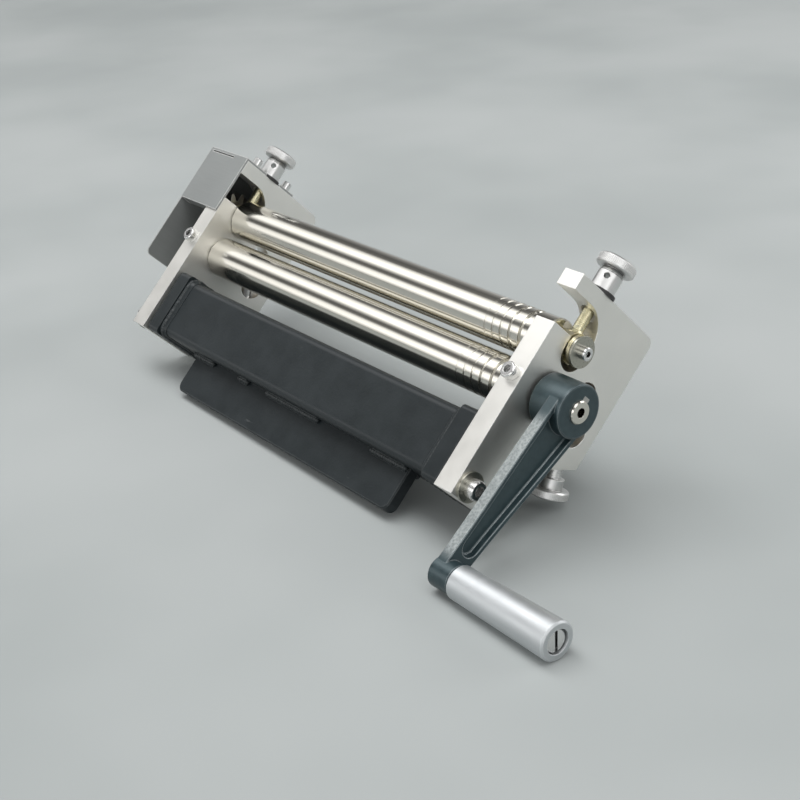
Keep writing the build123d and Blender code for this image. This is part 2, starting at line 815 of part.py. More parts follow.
def all_nodes():
    nodes = {
        "base_tube": base_tube(),
        "vise_plate": vise_plate(),
        "weld_beads": weld_beads(),
        "base_bolts": base_bolts(),
        "base_washers": base_washers(),
        "bush_lock_screws": lock_screws(),
        "knob_washers": knob_rings(),
        "gear_cover": gear_cover(),
        "cover_screws": cover_screws(),
        "lower_roller": lower_roller(),
        "upper_roller": upper_roller(),
        "rear_roller": rear_roller(),
        "upper_end_washers": end_washers(),
        "upper_end_spacer": end_spacer(),
        "upper_outer_washer": outer_washer(),
        "upper_end_screw": end_screw(),
        "lower_gear": gear(lower_z, shaft_end, 90),
        "upper_gear": gear(upper_z, upper_gear_seat, 90 + 180 / gear_teeth),
        "lower_gear_key": gear_key_block(lower_z, shaft_end),
        "upper_gear_key": gear_key_block(upper_z, upper_gear_seat),
        "lower_gear_washer": gear_washer(lower_z),
        "upper_gear_washer": gear_washer(upper_z),
        "lower_gear_screw": gear_screw(lower_z),
        "upper_gear_screw": gear_screw(upper_z),
        "crank_arm": crank_arm(),
        "crank_key": crank_key_block(),
        "crank_grip": crank_grip(),
        "grip_pin": grip_pin(),
    }
    turns = {1: -61.0, -1: -44.0}
    for side, name in ((1, "right"), (-1, "left")):
        nodes["side_plate_" + name] = side_plate(side)
        nodes["end_flange_" + name] = end_flange(side)
        nodes["lower_bush_" + name] = lower_bush(side)
        nodes["eye_bolt_" + name] = eye_bolt(side)
        nodes["pinch_knob_" + name] = pinch_knob(side, turns[side])
        nodes["rear_block_" + name] = rear_block(side)
        nodes["rear_knob_" + name] = rear_knob(side)
    return nodes


os.makedirs("parts", exist_ok=True)
for node_name, shape in all_nodes().items():
    export_step(shape, os.path.join("parts", node_name + ".step"))
    print(node_name, round(shape.volume, 1))
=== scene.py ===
# %% [markdown]
# # A bench slip roll, dressed for its photograph
#
# The solids come from the CAD model, already in place. They are loaded once as a fixed frame,
# and what follows gives them their finishes, adds the fine repeated detail that is too small for the
# CAD (knurls, threads, weld ripples), replaces two solids by fuller ones (the cast crank arm and the
# grip's pin) and sets up the room, the light and the camera.

# %% Load the frame
import json
import math
import bmesh
import bpy
from mathutils import Matrix, Vector


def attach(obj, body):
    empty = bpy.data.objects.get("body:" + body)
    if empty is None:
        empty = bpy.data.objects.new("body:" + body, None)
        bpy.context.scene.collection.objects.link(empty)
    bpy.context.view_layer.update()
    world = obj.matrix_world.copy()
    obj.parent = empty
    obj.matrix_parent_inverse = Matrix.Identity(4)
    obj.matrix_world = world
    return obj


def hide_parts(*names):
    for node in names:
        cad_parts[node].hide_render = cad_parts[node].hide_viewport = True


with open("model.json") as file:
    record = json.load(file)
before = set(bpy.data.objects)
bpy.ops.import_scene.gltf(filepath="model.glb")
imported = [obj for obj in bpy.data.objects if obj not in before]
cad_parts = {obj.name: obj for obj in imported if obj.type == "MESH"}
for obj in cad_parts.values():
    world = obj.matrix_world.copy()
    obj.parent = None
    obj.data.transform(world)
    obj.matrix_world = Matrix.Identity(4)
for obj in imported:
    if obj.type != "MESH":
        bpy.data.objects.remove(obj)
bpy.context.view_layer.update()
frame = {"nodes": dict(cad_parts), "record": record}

nodes = frame["nodes"]

# %% [markdown]
# ## The camera
#
# The photograph was matched: places such as plate corners, roller ends and screw heads were
# read from it and a pinhole camera was fitted to them. Its three directions are written here as
# unit vectors in the part's own frame, and its lens as the focal length on a 36 mm sensor.

# %% Place the camera
picture_right = Vector((0.61122814, 0.59361568, 0.52346976))
picture_down = Vector((0.29935505, 0.43886892, -0.84721935))
looking = Vector((-0.73265730, 0.67454762, 0.09054718))
camera_place = Vector((0.636074, -0.523031, -0.040191))

camera_data = bpy.data.cameras.new("studio_camera")
camera_data.sensor_fit = "HORIZONTAL"
camera_data.sensor_width = 36.0
camera_data.lens = 65.4986
camera_data.clip_start = 0.05
camera_data.clip_end = 50.0
camera = bpy.data.objects.new("studio_camera", camera_data)
bpy.context.scene.collection.objects.link(camera)
turn = Matrix((picture_right, -picture_down, -looking)).transposed().to_4x4()
camera.matrix_world = Matrix.Translation(camera_place) @ turn
bpy.context.scene.camera = camera
bpy.context.scene.view_settings.view_transform = "Standard"
print("camera at", [round(v, 3) for v in camera_place])

# %% [markdown]
# ## Shader arithmetic
#
# A procedural finish is a small sum: some noise, times an amount, plus a base value. Written with
# nodes by hand that is long, so one class wraps a socket and lets Python's + - * / build the Math
# nodes. Every other node comes from one method, which sets the node's settings before its sockets.

# %% Wire and Finish
class Wire:
    """An output socket that can be added, multiplied and compared like a number."""

    def __init__(self, nodes_of, socket):
        self.nodes_of = nodes_of
        self.socket = socket

    def math(self, operation, *others):
        values = dict(enumerate((self,) + others))
        return self.nodes_of.add("ShaderNodeMath", {"operation": operation}, values)

    def __add__(self, other):
        return self.math("ADD", other)

    def __mul__(self, other):
        return self.math("MULTIPLY", other)

    def __sub__(self, other):
        return self.math("SUBTRACT", other)

    def __truediv__(self, other):
        return self.math("DIVIDE", other)

    def __rsub__(self, other):
        return self.nodes_of.add("ShaderNodeMath", {"operation": "SUBTRACT"}, {0: other, 1: self})

    __radd__ = __add__
    __rmul__ = __mul__


class Nodes:
    """A node tree with one way to add a node to it."""

    def __init__(self, tree):
        self.tree = tree

    def add(self, kind, settings=None, values=None, out=0):
        node = self.tree.nodes.new(kind)
        for name, value in (settings or {}).items():
            if name == "stops":
                self.set_stops(node.color_ramp, value)
            else:
                setattr(node, name, value)
        for name, value in (values or {}).items():
            self.feed(node.inputs[name], value)
        return Wire(self, node.outputs[out])

    def dot(self, vector, direction):
        operation = {"operation": "DOT_PRODUCT"}
        return self.add("ShaderNodeVectorMath", operation, {0: vector, 1: direction}, out="Value")

    def set_stops(self, ramp, stops):
        while len(ramp.elements) < len(stops):
            ramp.elements.new(0.5)
        for element, (place, colour) in zip(ramp.elements, stops):
            element.position = place
            element.color = (*colour, 1.0)

    def feed(self, socket, value):
        if isinstance(value, Wire):
            self.tree.links.new(value.socket, socket)
        elif socket.type == "RGBA" and len(value) == 3:
            socket.default_value = (*value, 1.0)
        else:
            socket.default_value = value


class Finish(Nodes):
    """A material on the Principled shader, with patterns that read Object coordinates."""

    def __init__(self, name, **settings):
        self.material = bpy.data.materials.new(name)
        self.material.use_nodes = True
        super().__init__(self.material.node_tree)
        self.shader = self.tree.nodes["Principled BSDF"]
        self.place = self.add("ShaderNodeTexCoord", out="Object")
        for name, value in settings.items():
            self.set(name.replace("_", " ").title().replace("Ior", "IOR"), value)

    def set(self, socket, value):
        self.feed(self.shader.inputs[socket], value)

    def stretched(self, stretch):
        return self.add("ShaderNodeMapping", {}, {"Vector": self.place, "Scale": stretch})

    def noise(self, per_metre, detail=2.0, roughness=0.5, stretch=None):
        vector = self.stretched(stretch) if stretch else self.place
        values = {"Vector": vector, "Scale": per_metre, "Detail": detail, "Roughness": roughness}
        return self.add("ShaderNodeTexNoise", {}, values, out="Fac")

    def cells(self, per_metre, feature="F1", stretch=None):
        vector = self.stretched(stretch) if stretch else self.place
        values = {"Vector": vector, "Scale": per_metre}
        return self.add("ShaderNodeTexVoronoi", {"feature": feature}, values, out="Distance")

    def between(self, value, low, high, to_low=0.0, to_high=1.0):
        values = {0: value, 1: low, 2: high, 3: to_low, 4: to_high}
        return self.add("ShaderNodeMapRange", {"interpolation_type": "SMOOTHSTEP"}, values)

    def mixed(self, share, first, second):
        return self.add("ShaderNodeMix", {"data_type": "RGBA"}, {0: share, 6: first, 7: second}, out=2)

    def rounded(self, radius):
        return self.add("ShaderNodeBevel", {"samples": 4}, {"Radius": radius})

    def edges(self, radius):
        """1 along a corner within the radius and 0 on a flat face."""
        flat = self.add("ShaderNodeNewGeometry", out="Normal")
        return self.between(1.0 - self.dot(self.rounded(radius), flat), 0.004, 0.07)

    def bump(self, height, depth, strength=1.0, edge=0.0003):
        values = {"Height": height, "Distance": depth, "Strength": strength, "Normal": self.rounded(edge)}
        self.set("Normal", self.add("ShaderNodeBump", {}, values))


print("shader helpers ready")

# %% [markdown]
# ## The room
#
# The machine lies tipped back on a studio table: the vise plate's corner, the left rear knob and the
# grip touch it. Three touching points give the table's plane, and its normal is "up" for the lamps.
# The table is only a stage: it is see-through from below and throws no light or shade on the part,
# so that the part can be looked at from any side.

# %% Lay the table
room_up = Vector((0.0123, -0.7247, 0.6890)).normalized()
table_distance = -0.02105
room_ahead = (looking - looking.dot(room_up) * room_up).normalized()
room_right = room_ahead.cross(room_up)
middle_of_part = Vector((0.03, 0.0, 0.04))
under_part = middle_of_part + (table_distance - middle_of_part.dot(room_up)) * room_up


def in_room(right, ahead, up):
    """A place in the room, from the point of the table under the part."""
    return under_part + right * room_right + ahead * room_ahead + up * room_up


table_grey = (0.400, 0.418, 0.416)
table_mesh = bpy.data.meshes.new("studio_table")
reach = 9.0
corners = [in_room(x * reach, y * reach, 0.0) for x, y in ((-1, -1), (1, -1), (1, 1), (-1, 1))]
table_mesh.from_pydata(corners, [], [(0, 1, 2, 3)])
table = bpy.data.objects.new("studio_table", table_mesh)
bpy.context.scene.collection.objects.link(table)
if table_mesh.polygons[0].normal.dot(room_up) < 0:
    table_mesh.flip_normals()

table_look = Finish("table_look", Roughness=0.9)
mottle = table_look.between(table_look.noise(3.2, 3.0, 0.5), 0.28, 0.72)
table_look.set("Base Color", table_look.mixed(mottle, (0.325, 0.348, 0.346), (0.395, 0.415, 0.413)))
table_look.set("Specular IOR Level", 0.05)
behind = table_look.add("ShaderNodeNewGeometry", out="Backfacing")
clear = table_look.add("ShaderNodeBsdfTransparent")
solid_look = Wire(table_look, table_look.shader.outputs[0])
seen = table_look.add("ShaderNodeMixShader", {}, {0: behind, 1: solid_look, 2: clear})
output = next(n for n in table_look.tree.nodes if n.type == "OUTPUT_MATERIAL")
table_look.tree.links.new(seen.socket, output.inputs["Surface"])
table_mesh.materials.append(table_look.material)
table.visible_diffuse = False
table.visible_shadow = False
print("table under the part at", [round(v, 4) for v in under_part])

# %% [markdown]
# ## The light
#
# Bright metal shows its surroundings more than its own colour, so the room matters as much as the
# lamps. A roller is a mirror that looks all the way round its own axis: the photograph's bright and
# dark bands on it are two long windows of light that run parallel to the rollers, with a dark gap
# between them and darkness below. So the world's brightness is drawn by the angle round the rollers'
# axis, and it fades towards the gear cover's end. The camera sees a plain grey there instead. A broad
# lamp overhead whitens whatever faces up, and one at the right lifts the side plate.

# %% Light the room
world = bpy.data.worlds.new("studio_room")
bpy.context.scene.world = world
world.use_nodes = True
sky = Nodes(world.node_tree)
for node in list(sky.tree.nodes):
    sky.tree.nodes.remove(node)
towards = sky.add("ShaderNodeTexCoord", out="Generated")
split = sky.add("ShaderNodeSeparateXYZ", {}, {0: towards}, out="X").socket.node
sideways, backwards, upwards = (Wire(sky, split.outputs[axis]) for axis in "XYZ")
round_axis = upwards.math("ARCTAN2", backwards) / math.tau + 0.5
front_window = ((-180, 0.14), (-172, 0.22), (-161, 1.50), (-146, 1.75), (-132, 0.50), (-115, 0.05))
below_and_behind = ((-60, 0.05), (-15, 0.55), (25, 0.85), (60, 0.34), (90, 0.12), (112, 0.18))
top_window = ((127, 1.40), (142, 1.95), (155, 1.80), (166, 0.60), (175, 0.14))
bands = front_window + below_and_behind + top_window
half = 0.5  # keeps the ramp's colours under 1
world_strength = 1.95
stops = [(degrees / 360 + 0.5, (value * half,) * 3) for degrees, value in bands]
around = sky.add("ShaderNodeValToRGB", {"stops": stops}, {0: round_axis}, out="Color")
by_camera = sky.add("ShaderNodeLightPath", out="Is Camera Ray")
fading = (sideways * 2.8 + 3.2).math("MINIMUM", 1.25).math("MAXIMUM", 0.4)
strength = by_camera + (1.0 - by_camera) * fading * world_strength
shown = sky.add("ShaderNodeMix", {"data_type": "RGBA"}, {0: by_camera, 6: around, 7: table_grey}, out=2)
background = sky.add("ShaderNodeBackground", {}, {"Color": shown, "Strength": strength})
world_output = sky.tree.nodes.new("ShaderNodeOutputWorld")
sky.tree.links.new(background.socket, world_output.inputs["Surface"])


def soft_lamp(name, place, aim, width, height, watts):
    """A rectangular lamp that faces the aim."""
    data = bpy.data.lights.new(name, "AREA")
    data.shape = "RECTANGLE"
    data.size = width
    data.size_y = height
    data.energy = watts
    lamp = bpy.data.objects.new(name, data)
    bpy.context.scene.collection.objects.link(lamp)
    lamp.matrix_world = Matrix.Translation(place) @ (aim - place).to_track_quat("-Z", "Y").to_matrix().to_4x4()
    return lamp


soft_lamp("overhead", in_room(-0.35, 0.15, 1.5), under_part, 1.2, 0.6, 8.0)
soft_lamp("from_the_right", in_room(1.5, 0.1, 0.7), under_part, 0.9, 0.9, 6.5)

# %% [markdown]
# ## Blasted plates
#
# The side plates are milled from bar and then bead-blasted. Blasting leaves a fine, even grain with
# faint clouds in it, and the corners stay a little brighter where hands and cloths rub them. The
# grain is a bump from fine noise, and the bright corner is found with a Bevel node, which compares
# the rounded and the flat normal and so works on a mesh of loose triangles.

# %% Plate finish
finishes = {}
plate = Finish("plate_metal", Metallic=1.0)
grain = plate.noise(2600.0, 2.0, 0.6)
clouds = plate.noise(38.0, 4.0, 0.6)
worn = plate.edges(0.0007)
tone = plate.mixed(clouds, (0.75, 0.74, 0.70), (0.83, 0.82, 0.785))
plate.set("Base Color", plate.mixed(worn * 0.7, tone, (0.92, 0.915, 0.89)))
plate.set("Roughness", plate.between(clouds + grain * 0.25, 0.3, 0.9, 0.36, 0.47) - worn * 0.1)
plate.bump(grain, 0.00006, 0.35, 0.0005)
finishes["plate_metal"] = plate
print("plate finish nodes", len(plate.tree.nodes))

# %% [markdown]
# ## Satin black beam
#
# The beam, its flanges and the vise plate are sprayed in one coat of satin black over mill scale.
# Sprayed paint has a slight orange peel, some dust and a few dry scuffs that read as grey, and it is
# thin on the corners. The same finish serves the weld beads, with a rougher, lumpier bump.

# %% Black paint and weld finish
def black_paint(name, peel_depth, peel_scale, bare):
    paint = Finish(name, Metallic=0.0)
    paint.set("Specular IOR Level", 0.3)
    peel = paint.noise(peel_scale, 2.0, 0.5)
    scale_marks = paint.noise(55.0, 5.0, 0.65)
    scuffs = paint.between(paint.noise(160.0, 6.0, 0.75, (0.25, 1.0, 1.0)), 0.64, 0.74)
    worn = paint.edges(0.0006)
    tone = paint.mixed(scale_marks, (0.006, 0.009, 0.010), (0.017, 0.023, 0.026))
    dusty = paint.mixed(scuffs * bare, tone, (0.13, 0.14, 0.14))
    paint.set("Base Color", paint.mixed(worn * 0.40, dusty, (0.13, 0.14, 0.14)))
    paint.set("Roughness", paint.between(scale_marks + scuffs * 0.5, 0.3, 1.0, 0.36, 0.56))
    paint.bump(peel + scale_marks * 1.5, peel_depth, 0.5, 0.0006)
    return paint


finishes["black_paint"] = black_paint("black_paint", 0.00010, 700.0, 0.30)
finishes["weld"] = black_paint("weld", 0.00035, 420.0, 0.95)
print("paints", [f for f in finishes])

# %% [markdown]
# ## Ground rollers
#
# The rollers are ground between centres, so the finest marks run round them, and the steel has a
# warm, nickel-like tint. Noise that is stretched a hundred times more across than along gives such
# rings. The same helper makes the turned and drawn finishes of the small steel pieces, and an Ambient
# Occlusion node darkens their sockets and grooves as painted shade.

# %% Turned and ground metals
def turned_metal(name, dark, light, rough, ring_stretch, depth, edge=0.0003):
    metal = Finish(name, Metallic=1.0)
    rings = metal.noise(1.0, 3.0, 0.6, ring_stretch)
    clouds = metal.noise(45.0, 3.0, 0.55)
    worn = metal.edges(edge * 1.6)
    tone = metal.mixed(rings * 0.6 + clouds * 0.4, dark, light)
    bright = tuple(min(0.92, c * 1.25) for c in light)
    own_only = {"samples": 6, "only_local": True}
    # Painted shade: the AO node darkens the base colour in sockets, grooves and other hollows.
    painted_shade_ao = metal.add("ShaderNodeAmbientOcclusion", own_only, {"Distance": 0.003}, out="AO")
    shade_darkened_tone = metal.mixed(metal.between(painted_shade_ao, 0.25, 0.75), (0.04, 0.04, 0.038), tone)
    metal.set("Base Color", metal.mixed(worn * 0.6, shade_darkened_tone, bright))
    metal.set("Roughness", metal.between(rings * 0.5 + clouds * 0.5, 0.25, 0.75, rough * 0.8, rough * 1.25))
    metal.bump(rings, depth, 0.4, edge)
    return metal


along_x = (3200.0, 22.0, 22.0)
along_z = (60.0, 60.0, 2600.0)
finishes["roller_steel"] = turned_metal(
    "roller_steel", (0.58, 0.56, 0.50), (0.68, 0.66, 0.60), 0.13, along_x, 0.00001
)
finishes["gear_steel"] = turned_metal(
    "gear_steel", (0.30, 0.29, 0.27), (0.42, 0.41, 0.39), 0.34, along_x, 0.00002
)
finishes["bright_screw"] = turned_metal(
    "bright_screw", (0.62, 0.62, 0.61), (0.74, 0.74, 0.73), 0.20, along_x, 0.00001, 0.0004
)
finishes["bolt_washer"] = turned_metal(
    "bolt_washer", (0.33, 0.325, 0.28), (0.44, 0.43, 0.375), 0.30, (900.0, 900.0, 900.0), 0.00002
)
finishes["bush_bronze"] = turned_metal(
    "bush_bronze", (0.46, 0.31, 0.15), (0.60, 0.43, 0.22), 0.30, along_x, 0.00001
)
finishes["key_steel"] = turned_metal(
    "key_steel", (0.42, 0.41, 0.39), (0.52, 0.51, 0.49), 0.32, along_x, 0.00001
)
finishes["knob_metal"] = turned_metal(
    "knob_metal", (0.60, 0.60, 0.59), (0.70, 0.70, 0.69), 0.33, along_z, 0.00002, 0.0004
)
finishes["grip_metal"] = turned_metal(
    "grip_metal", (0.50, 0.52, 0.53), (0.58, 0.60, 0.61), 0.50, along_x, 0.00002, 0.0006
)
print("metals", len(finishes))

# %% [markdown]
# ## Plated, blackened and sheet pieces
#
# The eye bolts and two washers are zinc plated and passivated yellow, which drifts between straw
# and a greenish or rosy tint over a few millimetres. The washers under the knobs are blackened. The
# gear cover is folded from sheet and painted a plain satin grey, with its cut edges left bright.

# %% Yellow zinc, black oxide and cover sheet
zinc = Finish("yellow_zinc", Metallic=1.0)
drift = zinc.noise(210.0, 3.0, 0.6)
tints = [(0.30, (0.62, 0.60, 0.44)), (0.50, (0.68, 0.63, 0.42)), (0.70, (0.64, 0.58, 0.43))]
zinc.set("Base Color", zinc.add("ShaderNodeValToRGB", {"stops": tints}, {0: drift}, out="Color"))
zinc.set("Roughness", zinc.between(drift, 0.3, 0.7, 0.22, 0.38))
zinc.bump(zinc.noise(1500.0, 2.0), 0.00003, 0.4, 0.0004)
finishes["yellow_zinc"] = zinc

oxide = Finish("black_washer", Metallic=0.3)
patches = oxide.noise(420.0, 4.0, 0.6)
oxide.set("Base Color", oxide.mixed(patches, (0.018, 0.018, 0.018), (0.040, 0.040, 0.041)))
oxide.set("Roughness", oxide.between(patches, 0.3, 0.7, 0.38, 0.55))
oxide.bump(patches, 0.00004, 0.4)
finishes["black_washer"] = oxide

cover = Finish("cover_sheet", Metallic=0.25)
rolled = cover.noise(1.0, 3.0, 0.6, (45.0, 45.0, 900.0))
smear = cover.noise(32.0, 4.0, 0.6)
cut = cover.edges(0.0009)
sheet_tone = cover.mixed(smear * 0.6 + rolled * 0.4, (0.185, 0.197, 0.194), (0.26, 0.272, 0.268))
cover.set("Base Color", cover.mixed(cut * 0.8, sheet_tone, (0.80, 0.80, 0.78)))
cover.set("Roughness", cover.between(smear, 0.3, 0.7, 0.30, 0.44))
cover.bump(rolled, 0.00002, 0.3, 0.0005)
finishes["cover_sheet"] = cover
print("thin pieces done")

# %% [markdown]
# ## Enamelled crank
#
# The cast crank carries a dark blue-green enamel. It lies smooth on the hub, the rails and the
# channel's floor, and it is grey on the arm's grainy flank, where the sand's texture shows; that grey
# is partly rubbed-back enamel and partly painted light, as this flank is the side that faces the
# lamp. The flank is found from the piece's own normal and from the distance down the arm, Voronoi
# cells give its grain, and the casting's edges are lighter, partly thin enamel and partly a painted
# highlight.

# %% Crank enamel
enamel = Finish("crank_enamel", Metallic=0.5)
dimples = enamel.cells(900.0, "SMOOTH_F1")
flow = enamel.noise(300.0, 3.0, 0.55)
# Painted highlight and thin enamel: the casting's edges get a lighter base colour.
thin_enamel_and_highlight = enamel.edges(0.0007)
arm_tilt = math.radians(8.6)
down_arm = (0.0, -math.sin(arm_tilt), -math.cos(arm_tilt))
across_arm = (0.0, math.cos(arm_tilt), -math.sin(arm_tilt))
off_flank = (0.0, -math.cos(arm_tilt), math.sin(arm_tilt))
hub_along, hub_aside = 0.0620, 0.0094  # what brings the hub's axis to zero
from_hub = enamel.dot(enamel.place, down_arm) + hub_along
from_middle = enamel.dot(enamel.place, across_arm) + hub_aside
own_normal = enamel.add("ShaderNodeTexCoord", out="Normal")
clear_of_hub = enamel.between(from_hub, 0.010, 0.020) * (1.0 - enamel.between(from_hub, 0.088, 0.097))
near_side = 1.0 - enamel.between(from_middle, -0.002, 0.001)
# Painted light: the flank that faces the lamp gets a lighter grey base colour, besides its real grain.
flank = enamel.between(enamel.dot(own_normal, off_flank), 0.80, 0.97) * clear_of_hub * near_side
deep = enamel.mixed(flow, (0.017, 0.034, 0.040), (0.042, 0.070, 0.078))
grit_and_painted_light = enamel.mixed(dimples * 0.8 + flow * 0.4, (0.10, 0.12, 0.12), (0.40, 0.43, 0.43))
skin = enamel.mixed(flank, deep, grit_and_painted_light)
# The lighter edges here are partly thin enamel and partly a painted highlight.
enamel.set("Base Color", enamel.mixed(thin_enamel_and_highlight * (0.35 + clear_of_hub * 0.45), skin, (0.46, 0.50, 0.51)))
enamel.set("Roughness", enamel.between(flow, 0.3, 0.7, 0.34, 0.46) + flank * 0.08)
enamel.set("Coat Weight", 0.25)
enamel.set("Coat Roughness", 0.25)
enamel.bump(dimples * (0.15 + flank * 0.85) + flow * 0.3, 0.00026, 0.5, 0.0008)
finishes["crank_enamel"] = enamel
print("crank enamel done")

# %% [markdown]
# ## Put the finishes on
#
# The record says which material slot each CAD node takes, so every node gets the finish of that
# name. The node's mesh itself is never touched.

# %% Dress the nodes
slot_of = {part["node"]: part["material_slot"] for part in frame["record"]["subparts"]}
for name, node in nodes.items():
    look = finishes[slot_of[name]].material
    if not node.material_slots:
        node.data.materials.append(look)
    for slot in node.material_slots:
        slot.material = look
print("dressed", len(slot_of), "nodes")

# %% [markdown]
# ## A tree for Geometry Nodes
#
# What repeats is made by Geometry Nodes: the tree is built here with named inputs, run once on an
# empty mesh, and its result is copied into a plain mesh that is moved to its place. One helper sets
# the inputs by their identifiers, reads the result and removes the modifier again.

# %% Grown pieces
class Growth(Nodes):
    """A geometry tree: named inputs, then Realize Instances and Set Material."""

    def __init__(self, name, inputs):
        tree = bpy.data.node_groups.new(name, "GeometryNodeTree")
        super().__init__(tree)
        tree.interface.new_socket("Geometry", in_out="OUTPUT", socket_type="NodeSocketGeometry")
        tree.interface.new_socket("Path", in_out="INPUT", socket_type="NodeSocketGeometry")
        kinds = {int: "NodeSocketInt", float: "NodeSocketFloat"}
        for label, kind in inputs.items():
            tree.interface.new_socket(label, in_out="INPUT", socket_type=kinds[kind])
        tree.interface.new_socket("Finish", in_out="INPUT", socket_type="NodeSocketMaterial")
        self.entry = tree.nodes.new("NodeGroupInput")

    def given(self, label):
        return Wire(self, self.entry.outputs[label])

    def close(self, geometry):
        whole = self.add("GeometryNodeRealizeInstances", {}, {"Geometry": geometry})
        painted = self.add("GeometryNodeSetMaterial", {}, {"Geometry": whole, "Material": self.given("Finish")})
        last = self.tree.nodes.new("NodeGroupOutput")
        self.tree.links.new(painted.socket, last.inputs["Geometry"])


def grow(growth, finish, path=None, **sizes):
    """Run a tree once and return its result as a plain mesh."""
    start = path or bpy.data.meshes.new("start")
    carrier = bpy.data.objects.new("carrier", start)
    bpy.context.scene.collection.objects.link(carrier)
    modifier = carrier.modifiers.new("growth", "NODES")
    modifier.node_group = growth.tree
    labels = {item.name: item.identifier for item in growth.tree.interface.items_tree if item.in_out == "INPUT"}
    for label, value in sizes.items():
        modifier[labels[label.replace("_", " ").title()]] = value
    modifier[labels["Finish"]] = finish.material
    ready = carrier.evaluated_get(bpy.context.evaluated_depsgraph_get())
    mesh = bpy.data.meshes.new_from_object(ready)
    bpy.data.objects.remove(carrier)
    return mesh


def gather(name, body, slot_name, meshes_and_places):
    """One object from several meshes, each moved to its place, riding on a body."""
    joined = bmesh.new()
    for mesh, place in meshes_and_places:
        copy = mesh.copy()
        copy.transform(place)
        joined.from_mesh(copy)
    bmesh.ops.recalc_face_normals(joined, faces=joined.faces)
    result = bpy.data.meshes.new(name)
    joined.to_mesh(result)
    joined.free()
    result.materials.append(finishes[slot_name].material)
    piece = bpy.data.objects.new(name, result)
    bpy.context.scene.collection.objects.link(piece)
    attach(piece, body)
    print(name, "faces", len(result.polygons))
    return piece


def frame_at(origin, z_axis):
    """A place whose own Z runs along z_axis."""
    return Matrix.Translation(origin) @ Vector(z_axis).to_track_quat("Z", "Y").to_matrix().to_4x4()


print("growth helpers ready")

# %% [markdown]
# ## Knurled rims
#
# The four knobs have straight knurls, rolled into the rim of each disc. A roll of small bars set
# round a circle stands for them: a Mesh Circle gives the places, and each place gets one bar that is
# turned to face outwards by its own number in the row. The socket screws' heads get the same.

# %% Knurls
knurl = Growth("knurl", {"Count": int, "Radius": float, "Depth": float, "Width": float, "Height": float})
ring = knurl.add("GeometryNodeMeshCircle", {}, {"Vertices": knurl.given("Count"), "Radius": knurl.given("Radius")})
bar_size = knurl.add(
    "ShaderNodeCombineXYZ", {}, {0: knurl.given("Depth"), 1: knurl.given("Width"), 2: knurl.given("Height")}
)
bar = knurl.add("GeometryNodeMeshCube", {}, {"Size": bar_size})
number = knurl.add("GeometryNodeInputIndex")
bar_turn = knurl.add("ShaderNodeCombineXYZ", {}, {2: number * math.tau / knurl.given("Count")})
bars = knurl.add("GeometryNodeInstanceOnPoints", {}, {"Points": ring, "Instance": bar, "Rotation": bar_turn})
knurl.close(bars)

mm = 0.001
plate_middle = 151.5 * mm
plate_outer = 158.0 * mm
plate_top = 121.5 * mm
plate_front = -23.5 * mm
lower_axis = 62.7 * mm
rear_axis = Vector((0.0, 26.0 * mm, 68.9 * mm))
slant = Vector((0.0, -math.sin(math.radians(24.0)), math.cos(math.radians(24.0))))
rim = grow(
    knurl, finishes["knob_metal"], count=66, radius=10.15 * mm, depth=0.5 * mm, width=0.5 * mm, height=3.9 * mm
)
for side, word in ((1, "right"), (-1, "left")):
    top_place = Matrix.Translation((side * plate_middle, 0.0, plate_top + 16.7 * mm))
    gather("pinch_knurl_" + word, "knob_" + word, "knob_metal", [(rim, top_place)])
    rear_place = frame_at(rear_axis + Vector((side * plate_middle, 0, 0)) - 45.54 * mm * slant, slant)
    low_rim = rim.copy()
    low_rim.transform(Matrix.Diagonal((1.0, 1.0, 0.85, 1.0)))
    gather("rear_knurl_" + word, "rear_screw_" + word, "knob_metal", [(low_rim, rear_place)])

# %% [markdown]
# The bolts' heads are knurled more finely. Their heads lie 1.5 mm off the plate, on their washers.

# %% Knurled screw heads
bolt_knurl = grow(
    knurl, finishes["bright_screw"], count=44, radius=5.0 * mm, depth=0.3 * mm, width=0.36 * mm, height=4.6 * mm
)
lock_knurl = grow(
    knurl, finishes["bright_screw"], count=40, radius=4.25 * mm, depth=0.26 * mm, width=0.33 * mm, height=3.8 * mm
)
heads = []
for side in (1, -1):
    for y, z in ((-14.8, 5.1), (14.5, 33.5)):
        place = Vector((side * (plate_outer + 4.2 * mm), y * mm, z * mm))
        heads.append((bolt_knurl, frame_at(place, (side, 0, 0))))
    heads.append((lock_knurl, frame_at((side * plate_middle, plate_front - 2.2 * mm, lower_axis), (0, -1, 0))))
gather("screw_head_knurls", "frame", "bright_screw", heads)

# %% [markdown]
# ## Threads
#
# The eye bolts' stems and the rear screws show their threads where they leave the plates. A Spiral
# curve with a small round section, wound on the plain stem, gives the crests of such a thread.

# %% Screw threads
thread = Growth("thread", {"Turns": float, "Pitch": float, "Radius": float, "Crest": float})
wound = {
    "Resolution": 22,
    "Rotations": thread.given("Turns"),
    "Start Radius": thread.given("Radius"),
    "End Radius": thread.given("Radius"),
    "Height": thread.given("Turns") * thread.given("Pitch"),
}
helix = thread.add("GeometryNodeCurveSpiral", {}, wound)
section = thread.add(
    "GeometryNodeCurvePrimitiveCircle", {"mode": "RADIUS"}, {"Resolution": 5, "Radius": thread.given("Crest")}
)
crests = thread.add("GeometryNodeCurveToMesh", {}, {"Curve": helix, "Profile Curve": section, "Fill Caps": True})
thread.close(crests)

